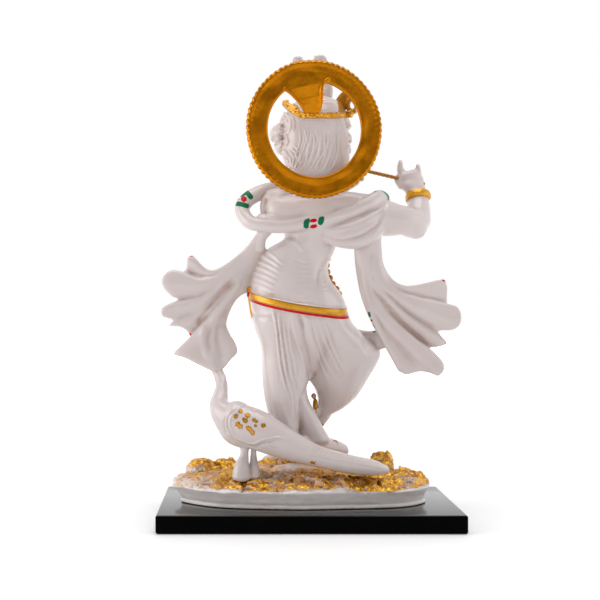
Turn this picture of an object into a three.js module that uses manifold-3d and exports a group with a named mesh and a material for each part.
// Krishna figure: a white glazed resin cast with a gold halo ring and a flute, glued on a black board.
// Millimetres, +Z up. The figure faces -Y and the origin is the centre of the board's underside.

import * as THREE from "three";
import { mergeVertices } from "three/addons/utils/BufferGeometryUtils.js";
import Module from "manifold-3d";

const wasm = await Module();
wasm.setup();

// Driving sizes
const boardWidth = 210;
const boardDepth = 130;
const boardThickness = 12.5;
const boardCorner = 2.5;
const boardEdge = 1.6;
const figureHeight = 325;
const fitGap = 0.3;

const haloOuterRadius = 48.3;
const haloInnerRadius = 33.5;
const haloThickness = 3.6;
const haloTeeth = 72;
const toothRise = 0.8;
const haloTurn = THREE.MathUtils.degToRad(9);

const fluteLength = 104;
const fluteRadius = 1.5;

// The cast is drawn in shares of its height: one unit is a 325th of it, measured from the rock's underside.
const unit = figureHeight / 325;
const castFloor = boardThickness + fitGap;

// Turns points and triangles into a manifold solid with its faces outward.
function solid(points, triangles) {
  const vertProperties = new Float32Array(points.flatMap((p) => [p.x, p.y, p.z]));
  const volume = triangles.reduce(
    (sum, [a, b, c]) => sum + points[a].dot(points[b].clone().cross(points[c])), 0);
  const outward = volume < 0 ? triangles.map(([a, b, c]) => [a, c, b]) : triangles;
  const triVerts = new Uint32Array(outward.flat());
  return new wasm.Manifold(new wasm.Mesh({ numProp: 3, vertProperties, triVerts }));
}

function fromGeometry(geometry) {
  geometry.deleteAttribute("normal");
  geometry.deleteAttribute("uv");
  const merged = mergeVertices(geometry, 1e-4);
  const vertProperties = merged.attributes.position.array;
  const triVerts = new Uint32Array(merged.index.array);
  return new wasm.Manifold(new wasm.Mesh({ numProp: 3, vertProperties, triVerts }));
}

function toMesh(name, manifold, material) {
  const { vertProperties, triVerts } = manifold.getMesh();
  const geometry = new THREE.BufferGeometry();
  geometry.setAttribute("position", new THREE.BufferAttribute(vertProperties, 3));
  geometry.setIndex(new THREE.BufferAttribute(triVerts, 1));
  geometry.computeVertexNormals();
  const mesh = new THREE.Mesh(geometry, material);
  mesh.name = name;
  return mesh;
}

// A closed skin over rings of equal length, with a point at each end.
function skin(rings, start, end) {
  const points = [start, ...rings.flat(), end];
  const sides = rings[0].length;
  const triangles = [];
  for (let j = 0; j < sides; j++) {
    const k = (j + 1) % sides;
    triangles.push([0, 1 + k, 1 + j]);
    const last = 1 + (rings.length - 1) * sides;
    triangles.push([points.length - 1, last + j, last + k]);
    for (let i = 0; i + 1 < rings.length; i++) {
      const a = 1 + i * sides;
      triangles.push([a + j, a + k, a + sides + k], [a + j, a + sides + k, a + sides + j]);
    }
  }
  return solid(points, triangles);
}

// A round-ended limb through stations [x, y, z, half width, half depth]. wide is the width's direction,
// level keeps the rings flat, and fold(t, angle) adds to the radius.
function limb(stations, { sides = 10, wide = [1, 0, 0], level = false, fold = () => 0, cap = 0.6 } = {}) {
  const path = new THREE.CatmullRomCurve3(stations.map(([x, y, z]) => new THREE.Vector3(x, y, z)));
  const sizes = new THREE.CatmullRomCurve3(stations.map(([, , , w, d]) => new THREE.Vector3(w, d, 0)));
  const upright = new THREE.Vector3(0, 0, Math.sign(stations.at(-1)[2] - stations[0][2]));
  const heading = (t) => (level ? upright : path.getTangent(t));
  const ring = (t, shrink, push) => {
    const tangent = heading(t);
    const across = new THREE.Vector3(...wide);
    across.addScaledVector(tangent, -tangent.dot(across)).normalize();
    const deep = tangent.clone().cross(across);
    const { x: w, y: d } = sizes.getPoint(t);
    const centre = path.getPoint(t).addScaledVector(tangent, push * cap * Math.min(w, d));
    return Array.from({ length: sides }, (_, j) => {
      const angle = (2 * Math.PI * j) / sides;
      const grow = fold(t, angle) * shrink;
      return centre.clone()
        .addScaledVector(across, (w * shrink + grow) * Math.cos(angle))
        .addScaledVector(deep, (d * shrink + grow) * Math.sin(angle));
    });
  };
  const endShrink = 0.7;
  const middle = stations.map((_, i) => ring(i / (stations.length - 1), 1, 0));
  const rings = [ring(0, endShrink, -endShrink), ...middle, ring(1, endShrink, endShrink)];
  const pole = (t, push) => {
    const { x: w, y: d } = sizes.getPoint(t);
    return path.getPoint(t).addScaledVector(heading(t), push * cap * Math.min(w, d));
  };
  return skin(rings, pole(0, -1), pole(1, 1));
}

// A thick cloth through lines laid across it, from its root to its hem. The hem's y gives the folds,
// and the line before it takes about half of them.
function cloth(lines, { thickness = 3.4, along = 3, between = 2 } = {}) {
  const curves = lines.map((list) => new THREE.CatmullRomCurve3(list.map((p) => new THREE.Vector3(...p))));
  const hem = lines.at(-1);
  const across = (hem.length - 1) * between;
  const meanY = hem.reduce((sum, p) => sum + p[1], 0) / hem.length;
  const foldShare = 0.55;
  const rows = Array.from({ length: across + 1 }, (_, i) => {
    const points = curves.map((curve) => curve.getPoint(i / across));
    points.at(-2).y += foldShare * (points.at(-1).y - meanY);
    const row = new THREE.CatmullRomCurve3(points);
    return Array.from({ length: along + 1 }, (_, k) => row.getPoint(k / along));
  });
  const thinEdge = 0.45;
  const faces = [0.5, -0.5].map((side) => rows.map((row, i) => row.map((p, k) => {
    const rim = k === along || i === 0 || i === across ? thinEdge : 1;
    return p.clone().add(new THREE.Vector3(0, side * thickness * rim, 0));
  })));
  return slab(...faces);
}

// Closes two grids of points, front and back, into one solid.
function slab(front, back) {
  const wide = front.length;
  const long = front[0].length;
  const points = [...front.flat(), ...back.flat()];
  const at = (face, i, k) => face * wide * long + i * long + k;
  const triangles = [];
  const quad = (a, b, c, d) => triangles.push([a, b, c], [a, c, d]);
  for (let i = 0; i + 1 < wide; i++) {
    for (let k = 0; k + 1 < long; k++) {
      quad(at(0, i, k), at(0, i + 1, k), at(0, i + 1, k + 1), at(0, i, k + 1));
      quad(at(1, i, k), at(1, i, k + 1), at(1, i + 1, k + 1), at(1, i + 1, k));
    }
    quad(at(0, i, 0), at(1, i, 0), at(1, i + 1, 0), at(0, i + 1, 0));
    quad(at(0, i, long - 1), at(0, i + 1, long - 1), at(1, i + 1, long - 1), at(1, i, long - 1));
  }
  for (let k = 0; k + 1 < long; k++) {
    quad(at(0, 0, k), at(0, 0, k + 1), at(1, 0, k + 1), at(1, 0, k));
    quad(at(0, wide - 1, k), at(1, wide - 1, k), at(1, wide - 1, k + 1), at(0, wide - 1, k + 1));
  }
  return solid(points, triangles);
}

function ball([x, y, z], [rx, ry, rz], sides = 10) {
  const geometry = new THREE.SphereGeometry(1, sides, Math.ceil(sides * 0.6));
  geometry.rotateX(Math.PI / 2);
  geometry.scale(rx, ry, rz);
  geometry.translate(x, y, z);
  return fromGeometry(geometry);
}

function union(solids) {
  return wasm.Manifold.union(solids);
}

// Body: hips, waist, chest and neck, then the tilted gold waist band
function torso() {
  const trunk = limb([
    [6, 0, 130, 32, 22], [6, 0, 139, 34.5, 23], [8, 0, 149, 33, 22], [11, 0, 160, 28, 20],
    [9.5, 0, 171, 25.3, 18], [4.5, 0, 181, 24.8, 17], [-3.5, 1, 190, 19.5, 16.5], [-8, 2, 200, 30, 17],
    [-11, 2, 211, 32, 15.5], [-10, 0, 222, 21, 13], [-8, -2, 230, 13, 12], [-7, -3, 244, 11, 11],
  ], { sides: 12, level: true, cap: 0.3 });
  const band = limb([[5.4, -0.45, 140.4, 35.4, 24.2], [4.6, 0.45, 145.2, 35, 23.8]],
    { sides: 20, cap: 0.1, wide: [1, 0, 0.167] });
  return union([trunk, band]);
}

// Pleats run down a leg: deep enough to show from a step away, none at the hem
const pleatCount = 8;
const pleatDepth = 0.0025 * figureHeight;
const pleatStart = 0.15;

function pleats(t, angle) {
  const swell = Math.sin(Math.PI * Math.min(1, t + pleatStart));
  return (pleatDepth / unit) * Math.cos(pleatCount * angle) * swell;
}

// Legs: the dress hangs from the seat over the standing leg and the bent one, whose foot crosses in front
function legs() {
  const seat = limb([
    [5, 0.5, 139, 33, 22], [4, 1, 130, 33, 21.5], [2.5, 1, 120, 31, 20], [2, 1, 111, 24, 16.5],
    [1, 0.5, 101, 13, 13], [-1.5, -0.5, 92, 7, 9.5],
  ], { sides: 12, level: true, cap: 0.2 });
  const standing = limb([
    [20, 1, 132, 20, 20], [18, 2, 124, 19.5, 19], [16, 3, 110, 17, 17], [15.6, 3, 95, 17, 16],
    [15.6, 3, 85, 16.4, 15.5], [17, 3, 74, 13.6, 15], [17, 3, 64, 11.5, 14], [16, 3, 54, 10.5, 13.5],
    [16, 3, 43, 11, 14],
  ], { sides: 16, level: true, fold: pleats, cap: 0.2 });
  const shin = limb([
    [9.5, 2, 88, 9, 9], [7.5, 2, 74, 8.5, 9], [2.5, 2, 63, 9, 9], [-2, 2, 53, 9.6, 9], [-5, 2, 44, 12, 9.5],
  ], { sides: 8, level: true });
  const foot = limb([
    [3, 7, 41, 7.5, 7.5], [-10, -1, 39.5, 8.5, 6.5], [-21, -9, 37, 8, 5], [-28, -14, 34.6, 6, 3.8],
  ], { wide: [0.5, 1, 0], sides: 8 });
  const bent = limb([
    [-13, 0, 132, 18, 20], [-14.5, -2, 126, 20, 21], [-20.5, -4, 117, 24, 21], [-26.4, -6, 107, 27.6, 21],
    [-26.6, -8, 98, 25, 20], [-23.8, -10, 89, 22.8, 18], [-24, -12, 80, 17.5, 16],
    [-22.4, -13.5, 72, 13.4, 13.5], [-17.8, -15, 64.8, 9.6, 10.5], [-13.5, -15.6, 60, 5, 7],
  ], { sides: 16, level: true, fold: pleats, cap: 0.4 });
  const calf = limb([
    [-17.5, -15, 70, 7, 8], [-11, -18, 58, 5.8, 6.4], [2, -22, 41, 5.8, 6], [6, -24, 34, 6, 6],
  ], { sides: 8 });
  const sole = limb([[4, -24, 34, 6.4, 6.4], [16, -27, 28, 7.2, 5.5], [29, -29, 23.6, 6, 4.2]],
    { wide: [0, 1, 0], sides: 8 });
  const tassel = [ball([-5.7, -7, 75.2], [1.9, 2.2, 2.2], 6), ball([-4.9, -6, 70.2], [2.1, 2.4, 4.6], 6)];
  return union([seat, standing, shin, foot, bent, calf, sole, ...tassel]);
}

function arms() {
  const left = limb([
    [17, 0, 210, 12, 12], [21, -14, 209, 10.5, 10.5], [22, -30, 206.5, 8.8, 8.8], [8, -39, 211, 8, 8],
    [-13, -42, 222, 6, 6], [-26, -38, 231, 7, 5], [-38, -33, 237, 6, 5],
  ], { wide: [0, 0, 1], sides: 8 });
  const right = limb([
    [-38, 0, 208, 13, 13], [-57, 0, 204, 13, 12], [-71, -3, 202.5, 10.5, 11], [-80, -11, 202, 11, 11],
    [-84, -19, 213, 8.6, 8.6], [-84, -25, 223, 7.6, 6.6], [-81, -28, 232, 10.2, 5.5],
    [-78, -29, 239, 8.5, 5],
  ], { wide: [0.7, 0, 0.7], sides: 8 });
  const fingers = [[-72, -29, 249.5], [-85, -29, 246.5]].map(([x, y, z]) => limb([
    [-78 + 0.3 * (x + 78), -28, 236, 4, 4], [x, y, z - 6, 2.6, 2.6], [x, y, z, 1.8, 1.8]], { sides: 6 }));
  const grip = [-30, -34.5, -39, -43].map((x) => limb([
    [x, -36, 236, 2.6, 2.6], [x, -35.5, 243, 2.3, 2.3], [x, -30.5, 246.5, 2.1, 2.1],
    [x, -26.5, 243, 1.8, 1.8],
  ], { sides: 5 }));
  const bracelet = limb([[-84.5, -22, 219.5, 10.2, 9.6], [-84, -24, 224, 9.6, 9]], { sides: 12, cap: 0.1 });
  return union([left, right, ...fingers, ...grip, bracelet]);
}

// Head: face, back hair with vertical locks, side curls, crown band, dome and feather plume
function head() {
  const face = ball([-4, -10.5, 263], [17, 18, 22], 9);
  const lockCount = 8;
  const lockDepth = 0.8;
  const locks = (t, angle) => lockDepth * Math.cos(lockCount * angle);
  const hair = limb([
    [-6, 0, 285, 19, 14], [-5.5, 1, 277, 21.5, 18], [-6.3, 1, 266, 23.6, 19], [-6.3, 1, 254, 24.4, 18.5],
    [-7, 2, 242, 23, 17], [-8, 3, 230, 20, 15], [-8, 3, 219, 19, 13],
  ], { sides: 16, level: true, fold: locks, cap: 0.3 });
  const curls = [
    [[13, -3, 274], [7, 9, 7.5]], [[19.5, -3, 265.5], [7.5, 9, 7.5]], [[17.5, -2, 256], [6, 8, 6]],
    [[-27, -3, 272.5], [5.5, 9, 6]], [[-28.5, -3, 262], [4.5, 8, 4.5]], [[-28, -2, 253.5], [4.5, 7, 4]],
  ].map(([place, size]) => ball(place, size, 6));
  const dome = ball([-12, -4, 282.5], [16.5, 15, 10.5], 9);
  const band = limb([[-7, 1.6, 275.5, 22.4, 20.4], [-7.6, 0.6, 280.5, 22, 20]],
    { sides: 20, cap: 0.1, wide: [1, 0, 0.15] });
  const plume = [[6, 322.5, 5], [-10, 323.5, 6.5], [-15.3, 304, 4.4]].map(([x, z, r]) => limb([
    [-4, -14, 286, 5, 3], [0.6 * x - 2, -12, z - 20, r, 3], [x, -9, z - 7, r, 3],
    [x, -8, z - 1, 0.7 * r, 2],
  ], { cap: 1, sides: 6 }));
  const tiara = limb([
    [-5, -20, 276, 14, 4], [-5, -21.5, 284, 12, 3.5], [-5, -20, 292, 7, 3], [-5, -18, 299, 2.5, 2],
  ], { sides: 6 });
  const leaf = limb([
    [-25.5, -6, 282, 3.4, 2.4], [-28, -6.5, 288, 4.8, 2], [-30, -7, 293.5, 4.4, 1.6],
    [-31.3, -7, 297, 2.2, 1.2],
  ], { sides: 6 });
  const curl = limb([
    [-33, -5, 281, 2.2, 2.2], [-36, -5, 287, 2.2, 2.2], [-33, -5, 292, 1.8, 1.8],
  ], { sides: 5 });
  const twirl = limb([
    [8, 12, 281.5, 2, 2], [12.5, 8, 284.5, 2.1, 2.1], [15.2, 4, 287.6, 2, 2], [14.2, 3, 290.2, 1.3, 1.3],
  ], { sides: 5 });
  return union([face, hair, ...curls, dome, band, ...plume, tiara, leaf, curl, twirl]);
}

// Shawl: one rolled length over the back and round the left shoulder, with rolled folds below it and the
// cape over the shoulders
function shawl() {
  const roll = limb([
    [14, -12, 226.5, 5.4, 5.4], [24, -10, 226, 5.6, 5.6], [34, -6, 223, 5.6, 5.6],
    [43, -1, 217.5, 5.6, 5.6], [46.8, 3, 211, 5.5, 5.5], [45, 7, 204.6, 5.4, 5.4],
    [40.5, 11, 200, 5.2, 5.2], [32, 14, 198, 5, 5], [17, 15.5, 197, 4.8, 5],
    [2, 16, 199.2, 4.6, 4.8], [-10, 16, 201.4, 4.5, 4.6], [-30, 14, 208, 4.4, 4.6],
    [-42, 11, 213.6, 4.6, 5],
    [-51, 5, 218.5, 5.4, 5.4], [-55, -4, 218.5, 5.6, 6],
  ], { sides: 8, wide: [0, 0, 1] });
  const drops = [
    [[16, 12.4, 196, 1.2, 1.2], [-2, 13, 194.6, 4.2, 3.8], [-16, 13.4, 194.6, 5.2, 4.8],
      [-30, 12.4, 197.4, 5.4, 5.4], [-43, 9.8, 203, 5.6, 5.8], [-54, 4.4, 211, 5.4, 5.6]],
    [[8, 13, 194.6, 1, 1], [-4, 13.2, 192.4, 3, 2.8], [-16, 13.6, 190.6, 4.4, 4],
      [-28, 13.2, 190.8, 5.2, 5], [-41, 10.4, 196.5, 5.8, 6], [-53, 5, 206, 5.6, 6]],
    [[2, 12, 192.6, 1, 1], [-6, 12.6, 190.6, 2.2, 2.4], [-14, 13, 188, 3, 3], [-24, 13, 186, 4.2, 4.4],
      [-36, 11.4, 186.4, 5, 5.4], [-47, 8.2, 193, 5.4, 6], [-55, 4, 202, 5.6, 6]],
  ].map((stations) => limb(stations, { sides: 5, wide: [0, 0, 1] }));
  const cape = limb([
    [-50, 2, 213, 8, 8], [-30, 5, 210, 13, 11.5], [-8, 5, 209, 15, 12], [14, 4, 207.5, 13, 12],
    [22, 2, 206, 9.5, 11],
  ], { wide: [0, 0, 1] });
  const hump = ball([20, 2, 209], [11, 12, 12], 8);
  const lap = limb([[29, 10, 203, 3, 4], [19, 11.4, 202, 5, 5], [4, 12, 203.5, 5, 5]],
    { sides: 6, wide: [0, 0, 1] });
  const stem = limb([[29, 10.5, 196, 5.4, 3], [33, 7, 189, 3.8, 2.6], [34, 4, 181, 4, 2.6]], { sides: 6 });
  return union([roll, ...drops, cape, hump, lap, stem]);
}

// Scarf ends: each is one cloth from the shawl to a lobed hem
const leftScarf = [
  [[34.5, 10, 195.5], [29, 3, 184], [31, -1, 171], [38, -3, 154]],
  [[47.5, 3, 179.5], [47.5, 2, 169.5], [48.5, 0, 158], [50, 0, 146]],
  [[68.5, 3, 166.5], [71, 4, 156.5], [72, 4, 144.5], [71.5, 3, 133], [66, 1, 126], [58, -1, 129.5]],
  [[83, 2, 177.5], [86.5, 4, 175], [88.5, 0.5, 166], [98, 5, 166.5], [104.5, 7, 160.5], [103.5, 7, 153.5],
    [97.5, 5, 147], [93, 1.5, 145], [102, 4, 141], [105.5, 5, 137.5], [104.5, 4, 133], [97, 1.5, 130],
    [100, 2, 126], [91, 3, 125], [85, -1.5, 118.5], [91.5, 2, 111.5], [96.5, 5, 105.5], [88.5, 8, 103],
    [77.5, 8, 97.5], [68, 10, 93.5], [60.5, 8, 95], [55, 8, 101.5], [50, 6, 107], [51.5, 3, 113.5],
    [56.5, 1, 121]],
];
const rightScarf = [
  [[-35, 6, 192], [-41, 8, 193], [-46.5, 8, 194.5], [-53.5, 5, 196]],
  [[-37.5, 3, 165], [-43, 7, 165], [-49.5, 6, 166.5], [-56, 2, 169.5]],
  [[-45, 4, 136], [-52.5, 5, 137], [-60.5, 5, 142.5], [-66.5, 4, 149], [-70, 3, 155.5]],
  [[-65.5, 7, 93], [-71.5, 9, 91], [-81, 8, 93], [-88, 9, 92], [-93.5, 11, 90], [-98, 11, 94.5],
    [-98, 9, 99.5], [-93.5, 5, 105.5], [-89, 0, 110], [-94.5, 3, 110.5], [-101, 5, 113.5],
    [-96.5, 4, 119.5], [-94.5, 4, 122], [-98.5, 7, 122.5], [-105.5, 9, 123.5], [-110, 10, 128],
    [-110.5, 9, 135.5], [-107, 8, 140.5], [-101.5, 4, 142.5], [-101.5, 5, 152], [-100, 6, 158.5],
    [-98, 6, 160]],
];

function scarfEnds() {
  const bridge = limb([[-34, -10, 115, 9, 8], [-46, -6, 114.5, 7.6, 6.4], [-58, 1, 117, 7, 4]],
    { wide: [0, 0, 1], sides: 8 });
  return union([cloth(leftScarf), cloth(rightScarf), bridge]);
}

// Peacock: one run from the head down the neck, over the back and along the folded tail
function peacock() {
  const body = limb([
    [74, -8, 106, 3.2, 3.4], [70.5, -2, 102, 4.6, 4.5], [64.4, 5, 93, 3.7, 4], [61.6, 11, 84, 3.9, 4.5],
    [62.4, 16, 76.7, 5.3, 5.8], [63, 19.5, 71, 6.8, 7], [60, 24, 65, 9.5, 9], [50, 28, 57.5, 15, 11.5],
    [36, 31, 53.5, 14, 12], [18, 33, 45, 11.3, 10.5], [-4, 34, 36.3, 7.6, 9], [-26, 33, 30.4, 6.6, 9.5],
    [-44, 31, 27.2, 5.6, 8.5], [-54, 29, 25.5, 3, 4.5],
  ], { sides: 10, wide: [0.35, 0, 1] });
  const back = ball([47.5, 28, 61.4], [12.5, 11, 11.8], 8);
  const beak = limb([[76, -9.5, 106, 2.2, 2.2], [82, -13, 104, 1, 1]], { sides: 6 });
  const shanks = [
    [[44.5, 30, 46, 5.4, 5], [44.8, 30, 38, 3.7, 3.6], [45.6, 30, 31, 4.4, 4.2], [46.2, 31, 24, 7.2, 6.6]],
    [[38.8, 27, 46, 3.6, 3.6], [38.6, 27, 38, 2.6, 3], [38.6, 27, 31, 2.9, 3.2], [38.4, 28, 24, 5, 5.4]],
  ].map((stations) => limb(stations, { sides: 6 }));
  return union([body, back, beak, ...shanks]);
}

// Rock: an uneven oval mound with an undercut foot and boulders
const mound = { x: 4, halfWidth: 91, halfDepth: 45, rim: 13, crown: 11, endRise: 4, chip: 0.9, power: 2.6 };

function rockTop(x, y) {
  const side = Math.abs(x - mound.x) / mound.halfWidth;
  const reach = Math.hypot(side, y / mound.halfDepth);
  const chips = mound.chip * Math.sin(0.31 * x + 0.2 * y) * Math.cos(0.27 * y - 0.13 * x);
  return mound.rim + mound.crown * (1 - reach ** 3) + mound.endRise * side ** 4 + chips;
}

function rock() {
  const sides = 28;
  const outline = (angle, scale, middle) => {
    const raised = [Math.cos(angle), Math.sin(angle)].map((side) => Math.abs(side) ** mound.power);
    const squarish = (raised[0] + raised[1]) ** (-1 / mound.power);
    const uneven = 1 + 0.018 * Math.sin(5 * angle + 1) + 0.012 * Math.sin(9 * angle);
    const x = middle + scale * mound.halfWidth * squarish * uneven * Math.cos(angle);
    const y = scale * mound.halfDepth * squarish * uneven * Math.sin(angle);
    return [x, y];
  };
  const levels = [[0.948, 0], [0.944, 3], [0.965, 7.5], [1.0, 11.5]];
  const footLean = 0.17;
  const ringAt = (scale, height) => Array.from({ length: sides }, (_, j) => {
    const lean = height === undefined ? 0 : footLean * (levels.at(-1)[1] - height);
    const [x, y] = outline((2 * Math.PI * j) / sides, scale, mound.x - lean);
    return new THREE.Vector3(x, y, height ?? rockTop(x, y));
  });
  const terraces = [[0.96], [0.76], [0.5], [0.25]];
  const rings = [...levels, ...terraces].map(([scale, height]) => ringAt(scale, height));
  const underside = new THREE.Vector3(mound.x, 0, 0);
  const heap = skin(rings, underside, new THREE.Vector3(mound.x, 0, rockTop(mound.x, 0)));
  const boulders = [[76, -8, 20, 12, 9], [60, -14, 19, 12, 8], [-55, -4, 24, 9, 10], [-70, 4, 15, 10, 7],
    [20, -20, 19, 20, 8]].map(([x, y, z, r, h]) => ball([x, y, z], [r, 0.8 * r, h], 6));
  return union([heap, ...boulders]);
}

// Front of the figure: necklaces, the long garland and the pleated fall between the knees
function frontDress() {
  const garland = limb([
    [12, -12, 216, 3, 3], [10.5, -14, 199, 3, 3], [12, -17, 185, 3, 3], [17, -18.5, 170, 3, 3],
    [15, -24, 144, 3, 3], [8, -29, 116, 3.2, 3.2], [-1, -31, 106, 3.4, 3.4],
    [-11, -30, 116, 3.2, 3.2], [-24.5, -16, 145, 3, 3],
    [-19, -9, 157, 3, 3], [-15, -9.5, 168, 3, 3], [-17.5, -11, 182, 3, 3], [-22, -14, 198, 3, 3],
    [-24, -11, 216, 3, 3],
  ], { sides: 6 });
  const necklace = limb([
    [10, -10, 226, 3, 3], [6, -17, 214, 3.4, 3], [-6, -19, 208, 3.8, 3], [-19, -17, 214, 3.4, 3],
    [-24, -10, 226, 3, 3],
  ], { sides: 6 });
  const fall = cloth([
    [[12, -20, 140], [2, -21, 138]], [[16, -27, 100], [4.5, -27, 98]],
    [[18, -24, 66], [14, -29, 62], [11, -25, 64], [7.5, -30, 59], [4, -27, 62], [1, -29, 62], [0, -26, 69]],
  ], { thickness: 7, along: 3 });
  return union([garland, necklace, fall]);
}

function haloGeometry() {
  const steps = haloTeeth * 2;
  const outline = Array.from({ length: steps }, (_, i) => {
    const angle = (2 * Math.PI * i) / steps;
    const radius = haloOuterRadius + (i % 2 ? 0 : toothRise);
    return new THREE.Vector2(radius * Math.cos(angle), radius * Math.sin(angle));
  });
  const shape = new THREE.Shape(outline);
  shape.holes.push(new THREE.Path().absarc(0, 0, haloInnerRadius, 0, 2 * Math.PI, true));
  const settings = { depth: haloThickness, bevelEnabled: false, curveSegments: 20 };
  const ring = new THREE.ExtrudeGeometry(shape, settings);
  ring.rotateX(Math.PI / 2);
  return ring;
}

// The halo stands behind the head, turned a little, on a tongue that meets the crown band
const haloCentre = new THREE.Vector3(-4.4 * unit, 27 * unit + haloThickness / 2, castFloor + 264.6 * unit);
const tongueThickness = 2.6;
const tongueSides = [{ root: 18, tip: -1.5 }, { root: -5.5, tip: -8 }];

function halo() {
  const ring = haloGeometry().rotateZ(haloTurn).translate(...haloCentre);
  const edge = (root, tip, y) => {
    const waist = 0.4 * root + 0.6 * tip;
    const rootHeight = haloCentre.z + haloInnerRadius + 1;
    return [
      new THREE.Vector3(haloCentre.x + root * unit, haloCentre.y + y - 0.5, rootHeight),
      new THREE.Vector3(haloCentre.x + waist * unit, haloCentre.y + y - 2 * unit, castFloor + 287 * unit),
      new THREE.Vector3(haloCentre.x + (tip + 4) * unit, 22.5 * unit + y / 2, castFloor + 276 * unit),
    ];
  };
  const faces = [0, -tongueThickness].map((y) => tongueSides.map(({ root, tip }) => edge(root, tip, y)));
  return union([fromGeometry(ring), slab(...faces)]);
}

// The flute runs from the right hand through the left one to the lips
const fluteStart = new THREE.Vector3(-90, -28, 231.5).multiplyScalar(unit);
const fluteAim = new THREE.Vector3(-4, -30, 252).multiplyScalar(unit);

function fluteSolid(radius) {
  const geometry = new THREE.CylinderGeometry(radius, radius, fluteLength, 12);
  geometry.translate(0, fluteLength / 2, 0);
  const direction = fluteAim.clone().sub(fluteStart).normalize();
  const upright = new THREE.Vector3(0, 1, 0);
  geometry.applyQuaternion(new THREE.Quaternion().setFromUnitVectors(upright, direction));
  geometry.translate(fluteStart.x, fluteStart.y, fluteStart.z + castFloor);
  return fromGeometry(geometry);
}

function figure(haloSolid) {
  const parts = [torso(), legs(), arms(), head(), shawl(), scarfEnds(), peacock(), rock(), frontDress()];
  const cast = union(parts).scale(unit).translate([0, 0, castFloor]);
  const largest = (best, piece) => (piece.volume() > best.volume() ? piece : best);
  const haloRoom = union([[0, 0], [fitGap, 0], [-fitGap, 0], [0, fitGap], [0, -fitGap], [0, 2 * fitGap]]
    .map(([x, y]) => haloSolid.translate([x, y - fitGap, 0])));
  return cast.subtract(fluteSolid(fluteRadius + fitGap)).subtract(haloRoom).decompose().reduce(largest);
}

function board() {
  const w = boardWidth / 2 - boardEdge;
  const d = boardDepth / 2 - boardEdge;
  const r = boardCorner;
  const shape = new THREE.Shape();
  shape.moveTo(-w + r, -d);
  shape.lineTo(w - r, -d).absarc(w - r, -d + r, r, -Math.PI / 2, 0, false);
  shape.lineTo(w, d - r).absarc(w - r, d - r, r, 0, Math.PI / 2, false);
  shape.lineTo(-w + r, d).absarc(-w + r, d - r, r, Math.PI / 2, Math.PI, false);
  shape.lineTo(-w, -d + r).absarc(-w + r, -d + r, r, Math.PI, 1.5 * Math.PI, false);
  const depth = boardThickness - 2 * boardEdge;
  const edge = { bevelThickness: boardEdge, bevelSize: boardEdge, bevelSegments: 2 };
  const block = new THREE.ExtrudeGeometry(shape, { depth, curveSegments: 2, ...edge });
  return fromGeometry(block.translate(0, 0, boardEdge));
}

const resin = new THREE.MeshStandardMaterial({ color: 0xece4e2, roughness: 0.25, metalness: 0 });
const gold = new THREE.MeshStandardMaterial({ color: 0xb07a14, roughness: 0.38, metalness: 0.9 });
const lacquer = new THREE.MeshStandardMaterial({ color: 0x0b0b0c, roughness: 0.15, metalness: 0 });

const model = new THREE.Group();
const haloSolid = halo();
model.add(toMesh("krishna_figure", figure(haloSolid), resin));
model.add(toMesh("halo_ring", haloSolid, gold));
model.add(toMesh("flute", fluteSolid(fluteRadius), gold));
model.add(toMesh("plinth_board", board(), lacquer));

export default model;
